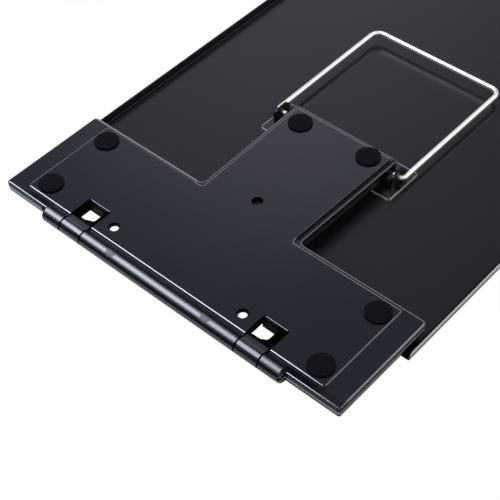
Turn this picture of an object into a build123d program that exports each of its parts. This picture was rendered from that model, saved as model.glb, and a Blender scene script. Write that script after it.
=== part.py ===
from build123d import *
import os
from math import cos, radians, sin

# Folding desk document holder, folded flat and lying face down, as it is put away.
# X runs across the board, +Y from the hinge to the top of the board, +Z out of the board's back.
# The origin is on the surface that it lies on, under the middle of its outline.
# Lengths are in millimetres and angles in degrees.

# Foot plate: a T-shaped moulding that stands on the desk in use
plate_width = 240.0
bar_depth = 69.4
plate_depth = 152.0
stem_root_width = 71.0
stem_tip_width = 74.6
stem_offset = 1.5
skirt_height = 7.0
parting_height = 3.4
plate_wall = 2.2
upper_draft = 3.0
lower_draft = 9.0
hinge_corner_radius = 1.8
bar_corner_radius = 2.8
tip_corner_radius = 2.5
inner_corner_radius = 2.4
flange_edge_radius = 1.2
skirt_edge_radius = 0.4

# Raised panel on the foot plate's outer face
panel_rise = 1.4
panel_hinge_strip = 4.6
panel_end_strip = 13.0
panel_edge_strip = 2.8
panel_corner_radius = 1.6
panel_edge_radius = 1.1

# Hinge barrel, knuckles and rod
axis_drop = 2.7
barrel_radius = 4.8
barrel_half_length = 86.0
barrel_end_radius = 1.5
end_knuckle_length = 13.8
window_width = 16.7
window_depth = 19.2
window_corner_radius = 1.2
window_wall_drop = 1.2
window_lip_width = 0.6
window_lip_drop = 0.35
sight_wall_depth = 1.6
knuckle_gap = 1.1
rod_diameter = 3.0
rod_fit = 0.03
knuckle_fit = 0.06
rod_end_wall = 1.6
rod_inset = 1.0
rod_chamfer = 0.3

# Round holes, ribs and screw cup of the foot plate
peep_diameter = 5.2
peep_inset = 9.0
peep_y = 13.4
peep_chamfer = 0.55
rib_thickness = 1.6
rib_drop = 1.4
stem_rib_x = 21.0
bar_rib_inset = 6.0
bar_rib_spacing = 20.0
cup_y = 76.8
cup_bore = 6.5
cup_wall = 1.8
cup_floor = 1.6
cup_depth = 4.0

# Notched rack for the bail, and the screw that holds it
rack_width = 24.0
rack_gap = 1.5
rack_end_land = 6.0
rack_tip_gap = 12.0
notch_pitch = 8.4
tooth_height = 3.2
tooth_land = 2.2
notch_floor = 3.4
notch_clearance = 0.2
rack_fit = 0.1
screw_head_diameter = 5.6
screw_head_height = 1.7
screw_diameter = 2.9
screw_length = 6.6
screw_fit = 0.02
screw_clearance = 0.1
recess_span = 3.0
recess_width = 0.7
recess_depth = 0.9

# Rubber feet
foot_diameter = 14.5
foot_height = 1.2
foot_edge_radius = 0.3
low_foot_inset = 22.8
low_foot_y = 13.8
bar_foot_inset = 21.9
bar_foot_strip = 12.1
left_tip_foot_x = 22.4
left_tip_foot_strip = 12.6
right_tip_foot_x = 25.0
right_tip_foot_strip = 10.0

# Page board: a folded sheet
board_width = 244.6
board_length = 304.5
board_start = 52.5
sheet_thickness = 1.2
rim_height = 5.2
outer_bend = 1.8
inner_bend = 0.6
rim_edge_radius = 0.55
rim_end_radius = 2.6
corner_relief = 1.5
plate_gap = 5.1

# Paper ledge: the moulding at the board's foot, with the board's half of the hinge
ledge_width = 200.0
ledge_start = 27.0
tongue_length = 13.5
tongue_thickness = 2.4
board_seat_gap = 0.2
shelf_y = 37.0
shelf_thickness = 2.4
shelf_depth = 12.0
lip_thickness = 2.0
lip_height = 6.6
ledge_edge_radius = 0.8
arm_width = 5.0
arm_thickness = 5.6
arm_offset = 7.0
arm_slope = 48.8
leaf_top = 3.7
leaf_reach = 9.5
arm_bend_radius = 4.0

# Bail bracket: a stamped plate with two lanced ears
bracket_width = 95.0
bracket_start = 132.5
bracket_length = 27.0
bracket_thickness = 1.2
bracket_corner_radius = 1.5
ear_x = 43.0
ear_length = 13.8
ear_rise = 4.4
ear_corner_radius = 4.0
lance_margin = 0.6
pivot_y = 146.6
pivot_height = 6.1

# Wire bail
wire_diameter = 3.0
bail_half_width = 46.2
bail_length = 95.0
bail_end_x = 39.7
pivot_bend = 2.6
top_bend = 6.0
pivot_fit = 0.06

# Rivets of the bracket and of the ledge
rivet_diameter = 3.2
rivet_fit = 0.1
rivet_head_diameter = 6.4
rivet_head_height = 1.3
rivet_sink_diameter = 5.6
rivet_sink_depth = 0.8
rivet_dome_share = 0.45
bracket_rivet_spacing = 22.0
bracket_rivet_count = 3
ledge_rivet_spacing = 54.0
ledge_rivet_count = 4

overrun = 5.0

# Levels and places that follow from the sizes above
board_front = lip_thickness + shelf_depth
board_back = board_front + sheet_thickness
rim_top = board_back + rim_height
skirt_bottom = board_back + plate_gap
flange_top = skirt_bottom + skirt_height
flange_under = flange_top - plate_wall
panel_top = flange_top + panel_rise
panel_under = panel_top - plate_wall
axis_z = flange_top - axis_drop
pivot_z = board_back + pivot_height
board_end = board_start + board_length
overall_length = barrel_radius + board_end
hinge_y = barrel_radius - overall_length / 2
to_frame = Pos(0, hinge_y, 0)
window_outer = barrel_half_length - end_knuckle_length
window_inner = window_outer - window_width
peep_x = window_inner - peep_inset
knuckle_inner = window_inner + knuckle_gap
knuckle_outer = window_outer - knuckle_gap
knuckle_middle = (knuckle_inner + knuckle_outer) / 2
shelf_top = shelf_y + shelf_thickness
tongue_end = board_start + tongue_length
tongue_back = board_back + tongue_thickness
rivet_row_y = board_start + tongue_length / 2
rack_start = tongue_end + rack_gap
rack_reach = plate_depth - plate_wall - rack_tip_gap
notch_count = int((rack_reach - rack_start - rack_end_land) // notch_pitch)
sides = (-1, 1)


def block(x_range, y_range, z_range):
    """Return a box between the given pairs of X, Y and Z."""
    size = [high - low for low, high in (x_range, y_range, z_range)]
    middle = [(high + low) / 2 for low, high in (x_range, y_range, z_range)]
    return Pos(*middle) * Box(*size)


def rod_along_x(radius, x_low, x_high, y, z):
    """Return a cylinder along X between two places."""
    return Pos((x_low + x_high) / 2, y, z) * Rot(0, 90, 0) * Cylinder(radius, x_high - x_low)


def side_profile(points):
    """Return a face in the YZ plane through the given (y, z) points."""
    return Plane.YZ * make_face(Polyline(*points, close=True))


def across(face, x_low, x_high):
    """Extrude a YZ face along X between two places."""
    return Pos(x_low, 0, 0) * extrude(face, amount=x_high - x_low, dir=(1, 0, 0))


def round_corners(face, places, radius):
    """Round the corners of a flat face that lie at the given (x, y) places."""
    def is_named(vertex):
        return any(abs(vertex.X - x) + abs(vertex.Y - y) < radius for x, y in places)
    return fillet(face.vertices().filter_by(is_named), radius)


def mirrored(points):
    """Return points of the +X half of an outline, followed by their mirror images."""
    return points + [(-x, y) for x, y in reversed(points)]


def centred_row(count, spacing):
    """Return places along X, evenly spaced about the middle."""
    return [(index - (count - 1) / 2) * spacing for index in range(count)]


def stem_corners(inset):
    """Return the stem's corners, set in from the plate's edge, from the right root round to the left."""
    root, tip = stem_root_width / 2 - inset, stem_tip_width / 2 - inset
    bar_y, tip_y = bar_depth - inset, plate_depth - inset
    right = [(stem_offset + root, bar_y), (stem_offset + tip, tip_y)]
    left = [(stem_offset - tip, tip_y), (stem_offset - root, bar_y)]
    return right + left


def plate_outline():
    """Return the T outline of the foot plate, with its corners rounded."""
    half = plate_width / 2
    hinge_corners = [(half, 0), (-half, 0)]
    bar_corners = [(half, bar_depth), (-half, bar_depth)]
    stem = stem_corners(0)
    points = [hinge_corners[0], bar_corners[0]] + stem + [bar_corners[1], hinge_corners[1]]
    face = make_face(Polyline(*points, close=True))
    face = round_corners(face, hinge_corners, hinge_corner_radius)
    face = round_corners(face, bar_corners, bar_corner_radius)
    face = round_corners(face, [stem[0], stem[-1]], inner_corner_radius)
    return round_corners(face, stem[1:-1], tip_corner_radius)


def panel_outline():
    """Return the outline of the raised panel, set in from the plate's edges."""
    half, bar_y = plate_width / 2 - panel_end_strip, bar_depth - panel_edge_strip
    right = [(half, panel_hinge_strip), (half, bar_y)]
    left = [(-half, bar_y), (-half, panel_hinge_strip)]
    face = make_face(Polyline(*(right + stem_corners(panel_edge_strip) + left), close=True))
    return fillet(face.vertices(), panel_corner_radius)


def plate_shell():
    """Return the plate's skirt and flange, drafted both ways from its parting line, with the panel."""
    outline = plate_outline()
    parting = Pos(0, 0, skirt_bottom + parting_height)
    upper = extrude(parting * outline, amount=skirt_height - parting_height, taper=upper_draft)
    lower = extrude(parting * outline, amount=-parting_height, taper=lower_draft)
    upper = fillet(upper.faces().sort_by(Axis.Z)[-1].edges(), flange_edge_radius)
    lower = fillet(lower.faces().sort_by(Axis.Z)[0].edges(), skirt_edge_radius)
    panel = Pos(0, 0, flange_top - plate_wall / 2) * extrude(
        panel_outline(), amount=panel_rise + plate_wall / 2)
    panel = fillet(panel.faces().sort_by(Axis.Z)[-1].edges(), panel_edge_radius)
    inside = offset(outline, amount=-plate_wall, kind=Kind.INTERSECTION)
    cavity = Pos(0, 0, skirt_bottom - overrun) * extrude(
        inside, amount=flange_under - skirt_bottom + overrun)
    under_panel = offset(panel_outline(), amount=-plate_wall, kind=Kind.INTERSECTION)
    recess = Pos(0, 0, skirt_bottom) * extrude(under_panel, amount=panel_under - skirt_bottom)
    return upper + lower + panel - cavity - recess


def plate_ribs():
    """Return the stiffening ribs inside the plate, clear of the holes, windows and rack."""
    low = skirt_bottom + rib_drop
    z_range = (low, flange_under)
    front = window_depth + plate_wall
    bar_end = plate_width / 2 - plate_wall / 2
    ribs = []
    for side in sides:
        stem = sorted((side * stem_rib_x, side * (stem_rib_x + rib_thickness)))
        ribs.append(block(stem, (front, plate_depth - plate_wall / 2), z_range))
        bar_x = sorted((side * stem_rib_x, side * bar_end))
        for row in range(int((bar_depth - front - bar_rib_inset) // bar_rib_spacing) + 1):
            y = front + bar_rib_inset + row * bar_rib_spacing
            ribs.append(block(bar_x, (y, y + rib_thickness), z_range))
    return ribs


def build_foot_plate():
    """Return the foot plate with its barrel, windows, holes and screw cup."""
    plate = plate_shell() + plate_ribs()
    frame_end = window_depth + plate_wall
    for side in sides:
        x_frame = sorted((side * window_inner, side * (window_outer + plate_wall)))
        plate += block(x_frame, (0, frame_end), (skirt_bottom, flange_under))
        plate += block(x_frame, (window_depth, frame_end), (skirt_bottom - window_wall_drop, flange_under))
        x_sight = sorted((side * (window_inner - plate_wall), side * window_inner))
        plate += block(x_sight, (0, frame_end), (flange_under - sight_wall_depth, flange_under))
    barrel = rod_along_x(barrel_radius, -barrel_half_length, barrel_half_length, 0, axis_z)
    ends = barrel.edges().filter_by(GeomType.CIRCLE)
    plate += fillet(ends, barrel_end_radius)
    cup_outer = cup_bore / 2 + cup_wall
    plate += Pos(0, cup_y, panel_top - cup_depth - cup_floor) * Cylinder(
        cup_outer, cup_depth + cup_floor - panel_edge_radius, align=(Align.CENTER, Align.CENTER, Align.MIN))
    cuts = [rod_along_x(rod_diameter / 2 + rod_fit, -barrel_half_length - overrun,
                        barrel_half_length - rod_end_wall, 0, axis_z)]
    for side in sides:
        x_window = sorted((side * window_inner, side * window_outer))
        z_window = (skirt_bottom - overrun, panel_top + overrun)
        window = block(x_window, (-barrel_radius - overrun, window_depth), z_window)
        far = window.edges().filter_by(Axis.Z).group_by(Axis.Y)[-1]
        cuts.append(fillet(far, window_corner_radius))
        lip = side_profile([(window_depth, panel_top - window_lip_drop), (window_depth, panel_top),
                            (window_depth + window_lip_width, panel_top)])
        cuts.append(across(lip, x_window[0] + window_corner_radius, x_window[1] - window_corner_radius))
        peep_top = Pos(side * peep_x, peep_y, panel_top)
        cuts.append(peep_top * Cylinder(peep_diameter / 2, 2 * skirt_height))
        cuts.append(peep_top * Cone(peep_diameter / 2, peep_diameter / 2 + 2 * peep_chamfer,
                                    2 * peep_chamfer))
    cup_top = Pos(0, cup_y, panel_top)
    downwards = (Align.CENTER, Align.CENTER, Align.MAX)
    cuts.append(cup_top * Cylinder(cup_bore / 2, cup_depth, align=downwards))
    cuts.append(cup_top * Cylinder(screw_diameter / 2 + screw_clearance, cup_depth + cup_floor + overrun,
                                   align=downwards))
    return plate - cuts


def build_hinge_rod():
    """Return the steel rod that runs through every knuckle, pushed in from the left end."""
    rod = rod_along_x(rod_diameter / 2, -barrel_half_length + rod_inset,
                      barrel_half_length - rod_end_wall - rod_inset, 0, axis_z)
    return chamfer(rod.edges().filter_by(GeomType.CIRCLE), rod_chamfer)


def build_angle_rack():
    """Return the notched rack: saw teeth lean towards the hinge and hold the bail's bar."""
    top = panel_under
    floor = skirt_bottom - notch_clearance
    tip = floor - tooth_height
    start, end = rack_start, rack_start + notch_count * notch_pitch + rack_end_land
    points = [(start, top), (start, floor)]
    for notch in range(notch_count):
        y = start + notch * notch_pitch
        points += [(y + notch_floor, floor), (y + notch_pitch - tooth_land, tip), (y + notch_pitch, tip)]
        points += [(y + notch_pitch, floor)]
    points += [(end, floor), (end, top)]
    rack = across(side_profile(points), -rack_width / 2, rack_width / 2)
    cup_radius = cup_bore / 2 + cup_wall + rack_fit
    cup_seat = panel_top - cup_depth - cup_floor
    rack -= Pos(0, cup_y, cup_seat) * Cylinder(
        cup_radius, plate_depth, align=(Align.CENTER, Align.CENTER, Align.MIN))
    return rack - Pos(0, cup_y, cup_seat) * Cylinder(screw_diameter / 2 + screw_fit, plate_depth)


def build_rack_screw():
    """Return the pan-head screw that sits at the bottom of the cup."""
    seat = Pos(0, cup_y, panel_top - cup_depth)
    upwards, downwards = (Align.CENTER, Align.CENTER, Align.MIN), (Align.CENTER, Align.CENTER, Align.MAX)
    head = Cylinder(screw_head_diameter / 2, screw_head_height, align=upwards)
    head = fillet(head.edges().group_by(Axis.Z)[-1], screw_head_height / 2)
    screw = head + Cylinder(screw_diameter / 2, screw_length, align=downwards)
    for span, width in ((recess_span, recess_width), (recess_width, recess_span)):
        screw -= Pos(0, 0, screw_head_height) * Box(span, width, 2 * recess_depth)
    return seat * screw


def foot_places():
    """Return each rubber foot's name and place; the two at the tip are stuck on a little unevenly."""
    low_x, bar_x = plate_width / 2 - low_foot_inset, plate_width / 2 - bar_foot_inset
    bar_y = bar_depth - bar_foot_strip
    return {
        "rubber_foot_low_left": (-low_x, low_foot_y),
        "rubber_foot_low_right": (low_x, low_foot_y),
        "rubber_foot_bar_left": (-bar_x, bar_y),
        "rubber_foot_bar_right": (bar_x, bar_y),
        "rubber_foot_tip_left": (-left_tip_foot_x, plate_depth - left_tip_foot_strip),
        "rubber_foot_tip_right": (right_tip_foot_x, plate_depth - right_tip_foot_strip),
    }


def build_rubber_foot(x, y):
    """Return one flat rubber disc on the raised panel."""
    foot = Pos(x, y, panel_top) * Cylinder(
        foot_diameter / 2, foot_height, align=(Align.CENTER, Align.CENTER, Align.MIN))
    return fillet(foot.edges().group_by(Axis.Z)[-1], foot_edge_radius)


def rivet_places():
    """Return the (x, y) places of the bracket's rivets and of the ledge's rivets."""
    bracket = [(x, pivot_y) for x in centred_row(bracket_rivet_count, bracket_rivet_spacing)]
    ledge = [(x, rivet_row_y) for x in centred_row(ledge_rivet_count, ledge_rivet_spacing)]
    return bracket, ledge


def rivet_holes(places):
    """Return upright cutters for rivets at the given places."""
    radius = rivet_diameter / 2 + rivet_fit
    return [Pos(x, y, board_front) * Cylinder(radius, plate_gap + shelf_depth) for x, y in places]


def rivet_sink(clearance):
    """Return a rivet's countersunk head at the origin, widest at the board's front, with some clearance."""
    return Cone(rivet_sink_diameter / 2 + clearance, rivet_diameter / 2 + clearance, rivet_sink_depth,
                align=(Align.CENTER, Align.CENTER, Align.MIN))


def build_page_board():
    """Return the folded sheet: two side rims, a top rim and relief gaps at the top corners."""
    half = board_width / 2
    inner = half - sheet_thickness
    points = mirrored([(half, board_front), (half, rim_top), (inner, rim_top), (inner, board_back)])
    section = make_face(Polyline(*points, close=True))
    section = round_corners(section, mirrored([(half, board_front)]), outer_bend)
    section = round_corners(section, mirrored([(inner, board_back)]), inner_bend)
    section = round_corners(section, mirrored([(half, rim_top), (inner, rim_top)]), rim_edge_radius)
    board = Pos(0, board_end, 0) * extrude(Plane.XZ * section, amount=board_length)
    end_y, end_z = board_start + rim_end_radius, rim_top - rim_end_radius
    board -= block((-half, half), (board_start - overrun, end_y), (end_z, rim_top + overrun)) - rod_along_x(
        rim_end_radius, -board_width, board_width, end_y, end_z)
    notch_y = board_end - outer_bend - corner_relief
    for side in sides:
        notch_x = sorted((side * (inner - corner_relief), side * (half + overrun)))
        board -= block(notch_x, (notch_y, board_end + overrun), (board_front - overrun, rim_top + overrun))
    fold = [(board_end - outer_bend - corner_relief, board_front), (board_end, board_front),
            (board_end, rim_top), (board_end - sheet_thickness, rim_top),
            (board_end - sheet_thickness, board_back),
            (board_end - outer_bend - corner_relief, board_back)]
    fold_face = make_face(Polyline(*fold, close=True))
    fold_face = round_corners(fold_face, [fold[1]], outer_bend)
    fold_face = round_corners(fold_face, [fold[4]], inner_bend)
    board -= block((-half, half), (board_end - outer_bend, board_end + overrun),
                   (board_front - overrun, rim_top + overrun))
    board += across(Plane.YZ * fold_face, corner_relief - inner, inner - corner_relief)
    places = sum(rivet_places(), [])
    sinks = [Pos(x, y, board_front) * rivet_sink(rivet_fit) for x, y in places]
    return board - rivet_holes(places) - sinks


def arm_profile():
    """Return the side view of a hinge arm: from the barrel down to the ledge's tongue."""
    along = (cos(radians(arm_slope)), sin(radians(arm_slope)))

    def on_slope(distance, z):
        return (distance - along[0] * (z - axis_z)) / along[1], z

    corner = on_slope(arm_offset, axis_z + leaf_top)
    upper_bend = on_slope(arm_offset, tongue_back)
    lower_bend = on_slope(arm_offset - arm_thickness, board_front)
    root = on_slope(arm_offset - arm_thickness, axis_z - barrel_radius / 2)
    inside_tongue = (ledge_start + shelf_y) / 2
    points = [(0, axis_z), (0, axis_z + leaf_top), corner, upper_bend, (inside_tongue, tongue_back),
              (inside_tongue, board_front), lower_bend, root]
    face = make_face(Polyline(*points, close=True))
    face = round_corners(face, [upper_bend, lower_bend], arm_bend_radius)
    return Plane.YZ * round_corners(face, [corner], panel_corner_radius)


def build_paper_ledge():
    """Return the ledge: shelf and lip for the paper, tongue behind the board, arms and knuckles."""
    end_y = board_start - board_seat_gap
    section = [(ledge_start, board_front), (shelf_y, board_front), (shelf_y, 0),
               (shelf_top + lip_height, 0), (shelf_top + lip_height, lip_thickness),
               (shelf_top, lip_thickness), (shelf_top, board_front), (end_y, board_front),
               (end_y, board_back), (tongue_end, board_back), (tongue_end, tongue_back),
               (ledge_start, tongue_back)]
    face = make_face(Polyline(*section, close=True))
    rounded = [section[index] for index in (0, 2, 3, 4, 5, 6, 10, 11)]
    face = round_corners(face, rounded, ledge_edge_radius)
    ledge = across(Plane.YZ * face, -ledge_width / 2, ledge_width / 2)
    arm = arm_profile()
    leaf_zone = rod_along_x(leaf_reach, -ledge_width, ledge_width, 0, axis_z)
    for side in sides:
        middle = side * knuckle_middle
        ledge += across(arm, middle - arm_width / 2, middle + arm_width / 2)
        x_low, x_high = sorted((side * knuckle_inner, side * knuckle_outer))
        ledge += across(arm, x_low, x_high) & leaf_zone
        ledge += rod_along_x(barrel_radius, x_low, x_high, 0, axis_z)
        ledge -= rod_along_x(rod_diameter / 2 + knuckle_fit, x_low - overrun, x_high + overrun, 0, axis_z)
    return ledge - rivet_holes(rivet_places()[1])


def ear_profile():
    """Return the side view of one ear, rounded at the top."""
    low_y, high_y = pivot_y - ear_length / 2, pivot_y + ear_length / 2
    top = pivot_z + ear_rise
    points = [(low_y, board_back), (high_y, board_back), (high_y, top), (low_y, top)]
    face = make_face(Polyline(*points, close=True))
    return Plane.YZ * round_corners(face, points[2:], ear_corner_radius)


def build_bail_bracket():
    """Return the stamped bracket: a flat plate with an ear lanced up at each end."""
    plate_face = RectangleRounded(bracket_width, bracket_length, bracket_corner_radius)
    middle_y = bracket_start + bracket_length / 2
    bracket = Pos(0, middle_y, board_back) * extrude(plate_face, amount=bracket_thickness)
    ear_height = pivot_z + ear_rise - board_back - bracket_thickness
    lance_y = (pivot_y - ear_length / 2 - lance_margin, pivot_y + ear_length / 2 + lance_margin)
    for side in sides:
        inner, outer = ear_x - bracket_thickness / 2, ear_x + bracket_thickness / 2
        lance_x = sorted((side * (inner - ear_height), side * inner))
        bracket -= block(lance_x, lance_y, (board_back - overrun, pivot_z))
        x_low, x_high = sorted((side * inner, side * outer))
        bracket += across(ear_profile(), x_low, x_high)
        bracket -= rod_along_x(wire_diameter / 2 + pivot_fit, x_low - overrun, x_high + overrun,
                               pivot_y, pivot_z)
    return bracket - rivet_holes(rivet_places()[0])


def build_bail_wire():
    """Return the bent wire: two legs, a cross bar and two short ends turned in through the ears."""
    top_y = pivot_y + bail_length
    points = [(bail_end_x, pivot_y), (bail_half_width, pivot_y), (bail_half_width, top_y)]
    route = [(x, y, pivot_z) for x, y in mirrored(points)]
    path = FilletPolyline(*route, radius=[pivot_bend, top_bend, top_bend, pivot_bend])
    section = Plane(origin=path @ 0, z_dir=path % 0) * Circle(wire_diameter / 2)
    return sweep(section, path=path)


def build_rivets(places, head_base):
    """Return rivets with a low dome on the back and a countersunk head, flush with the board's front."""
    rivets = []
    dome_low = rivet_head_diameter / 2
    for x, y in places:
        dome = Cone(dome_low, dome_low * rivet_dome_share, rivet_head_height,
                    align=(Align.CENTER, Align.CENTER, Align.MIN))
        dome = fillet(dome.edges().group_by(Axis.Z)[-1], rivet_head_height / 2)
        shank = Cylinder(
            rivet_diameter / 2, head_base - board_front, align=(Align.CENTER, Align.CENTER, Align.MIN))
        rivet = shank + rivet_sink(0) + Pos(0, 0, head_base - board_front) * dome
        rivets.append(Pos(x, y, board_front) * rivet)
    return Compound(children=rivets)


def build_parts():
    """Return every piece by name, in the part's own frame."""
    bracket_places, ledge_places = rivet_places()
    parts = {
        "page_board": build_page_board(),
        "paper_ledge": build_paper_ledge(),
        "ledge_rivets": build_rivets(ledge_places, tongue_back),
        "bail_bracket": build_bail_bracket(),
        "bracket_rivets": build_rivets(bracket_places, board_back + bracket_thickness),
        "bail_wire": build_bail_wire(),
        "foot_plate": build_foot_plate(),
        "hinge_rod": build_hinge_rod(),
        "angle_rack": build_angle_rack(),
        "rack_screw": build_rack_screw(),
    }
    for name, (x, y) in foot_places().items():
        parts[name] = build_rubber_foot(x, y)
    return {name: to_frame * shape for name, shape in parts.items()}


os.makedirs("parts", exist_ok=True)
for name, shape in build_parts().items():
    export_step(shape, f"parts/{name}.step")
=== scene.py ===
"""Looks of a folding document holder, lying folded with its back up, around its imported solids.

Everything is in metres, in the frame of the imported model. Sizes are written in millimetres.
"""

import logging
import math
from dataclasses import dataclass, field
from enum import Enum
from typing import Any

import bpy
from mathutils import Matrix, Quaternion, Vector


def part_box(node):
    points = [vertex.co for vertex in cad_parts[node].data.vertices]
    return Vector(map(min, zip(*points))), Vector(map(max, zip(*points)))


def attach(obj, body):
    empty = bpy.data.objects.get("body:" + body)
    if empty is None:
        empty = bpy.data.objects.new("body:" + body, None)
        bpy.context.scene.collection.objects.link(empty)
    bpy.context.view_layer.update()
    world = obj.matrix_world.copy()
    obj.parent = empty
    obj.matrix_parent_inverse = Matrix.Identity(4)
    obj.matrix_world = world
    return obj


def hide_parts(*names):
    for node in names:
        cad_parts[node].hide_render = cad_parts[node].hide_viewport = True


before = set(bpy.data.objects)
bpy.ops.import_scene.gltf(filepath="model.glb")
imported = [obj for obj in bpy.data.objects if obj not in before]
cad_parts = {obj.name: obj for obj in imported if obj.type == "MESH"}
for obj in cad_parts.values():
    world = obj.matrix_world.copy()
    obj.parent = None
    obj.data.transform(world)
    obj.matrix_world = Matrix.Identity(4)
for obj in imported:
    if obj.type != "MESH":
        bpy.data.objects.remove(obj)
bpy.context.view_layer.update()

MM = 0.001
WELD_REACH = 1e-6
log = logging.getLogger("document_holder")

Point = tuple[float, float, float]
Span = tuple[float, float]
Levels = tuple[float, float, float, float]
Colour = tuple[float, float, float, float]
Profile = list[tuple[float, float]]
Tree = bpy.types.NodeTree
# What a node is fed with, and a node's outputs by their names.
Link = bpy.types.Node | bpy.types.NodeSocket
Parts = bpy.types.NodeOutputs

ORIGIN: Point = (0.0, 0.0, 0.0)
ALONG_X: Point = (1.0, 0.0, 0.0)
ALONG_XY: Point = (1.0, 1.0, 0.0)
ALONG_YZ: Point = (0.0, 1.0, 1.0)
# A mask's whole range.
FULL: Span = (0.0, 1.0)


class Body(Enum):
    """The three rigid bodies that the joints move."""

    BOARD = "board"
    FOOT = "foot"
    BAIL = "bail"


class Slot(Enum):
    """Names of material slots, kept on each made piece but not applied to it."""

    WIRE = "bright_wire"
    STEEL = "bare_steel"
    RUBBER = "foot_rubber"


class Look(Enum):
    """The finishes."""

    SHEET = "sheet"
    PLASTIC = "plastic"
    LEDGE = "ledge"
    STAMPING = "stamping"
    BRACKET = "bracket"
    WIRE = "wire"
    STEEL = "steel"
    RUBBER = "rubber"


class Step(Enum):
    """The steps that masks, colours and places are worked out by: a node's type with its settings.

    A range carries a value from one span to another, with soft ends and nothing beyond them. A blend goes
    from one colour to another as its share goes from 0 to 1.
    """

    RANGE = ("ShaderNodeMapRange", {"interpolation_type": "SMOOTHSTEP"})
    BLEND = ("ShaderNodeMix", {"data_type": "RGBA"})
    SPLIT = ("ShaderNodeSeparateXYZ", {})
    # On vectors.
    ADD = ("ShaderNodeVectorMath", {"operation": "ADD"})
    SUBTRACT = ("ShaderNodeVectorMath", {"operation": "SUBTRACT"})
    MULTIPLY = ("ShaderNodeVectorMath", {"operation": "MULTIPLY"})
    ABSOLUTE = ("ShaderNodeVectorMath", {"operation": "ABSOLUTE"})
    LARGER = ("ShaderNodeVectorMath", {"operation": "MAXIMUM"})
    DOT = ("ShaderNodeVectorMath", {"operation": "DOT_PRODUCT"})
    LENGTH = ("ShaderNodeVectorMath", {"operation": "LENGTH"})
    # On single values.
    PLUS = ("ShaderNodeMath", {"operation": "ADD"})
    TIMES = ("ShaderNodeMath", {"operation": "MULTIPLY"})
    OVER = ("ShaderNodeMath", {"operation": "DIVIDE"})
    ROUND_DOWN = ("ShaderNodeMath", {"operation": "FLOOR"})
    REMAINDER = ("ShaderNodeMath", {"operation": "MODULO"})
    HIGHER = ("ShaderNodeMath", {"operation": "MAXIMUM"})


def linear(colour: str) -> Colour:
    """Turn an sRGB hex colour into the linear values that a shader takes.

    Args:
        colour: Six hex digits after a hash sign.

    Returns:
        Red, green, blue and full alpha.
    """
    channels = [int(colour[place:place + 2], 16) / 255 for place in (1, 3, 5)]
    low, scale, shift, power = 0.04045, 12.92, 0.055, 2.4
    steps = [c / scale if c <= low else ((c + shift) / (1 + shift)) ** power for c in channels]
    return (*steps, 1.0)


def per_metre(size: float) -> float:
    """Return the texture scale whose features are about this many millimetres wide."""
    return 1 / (size * MM)


def metres(sizes: tuple[float, ...]) -> tuple[float, ...]:
    """Return sizes in metres that are given in millimetres."""
    return tuple(size * MM for size in sizes)


def add_node(tree: Tree, kind: Step | str, *feeds: Any, named: dict[str, Any] | None = None,
             **settings: Any) -> bpy.types.Node:
    """Add a node, with its settings and with what goes into its inputs.

    Args:
        tree: Tree that takes the node.
        kind: A step, or the node's type name.
        feeds: Values, outputs or whole nodes for the inputs that the settings leave in use, in their order.
        named: The same for inputs that are picked by their names.
        settings: Node's own properties, where the kind is a type name.

    Returns:
        The new node, which stands for its first output in use where it feeds another node.
    """
    if isinstance(kind, Step):
        kind, settings = kind.value
    node = tree.nodes.new(kind)
    for name, value in settings.items():
        setattr(node, name, value)
    in_use = [socket for socket in node.inputs if socket.enabled]
    picked = [(node.inputs[name], value) for name, value in (named or {}).items()]
    for socket, value in [*zip(in_use, feeds), *picked]:
        if isinstance(value, bpy.types.Node):
            value = next(output for output in value.outputs if output.enabled)
        if isinstance(value, bpy.types.NodeSocket):
            tree.links.new(value, socket)
        else:
            socket.default_value = value
    return node


def outside(tree: Tree, past: Link) -> Link:
    """Return how far a point is outside a box, from how far it is past the box's faces along each axis."""
    return add_node(tree, Step.LENGTH, add_node(tree, Step.LARGER, past, ORIGIN))


def band(tree: Tree, value: Link, levels: Levels) -> Link:
    """Return the mask of a band, from where it starts and is full to where it fades and ends.

    Args:
        tree: Tree that takes the nodes.
        value: What the band is a stretch of.
        levels: Where the band starts, is full, fades and ends.

    Returns:
        A mask that is 1 in the band and 0 outside it.
    """
    start, full, fading, end = levels
    started = add_node(tree, Step.RANGE, value, start, full, *FULL)
    return add_node(tree, Step.RANGE, value, fading, end, started, 0.0)


@dataclass(frozen=True)
class Patch:
    """What a part of a surface looks like where it differs from the rest."""

    dark: str
    light: str
    roughness: float
    metallic: float = 0.0


Patches = list[tuple[Link, Patch]]
# Painted shade: almost black and with no gleam of its own, so it darkens what it covers by its mask's share.
PAINTED_SHADE = Patch("#020203", "#030304", 0.4, 1.0)


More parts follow.
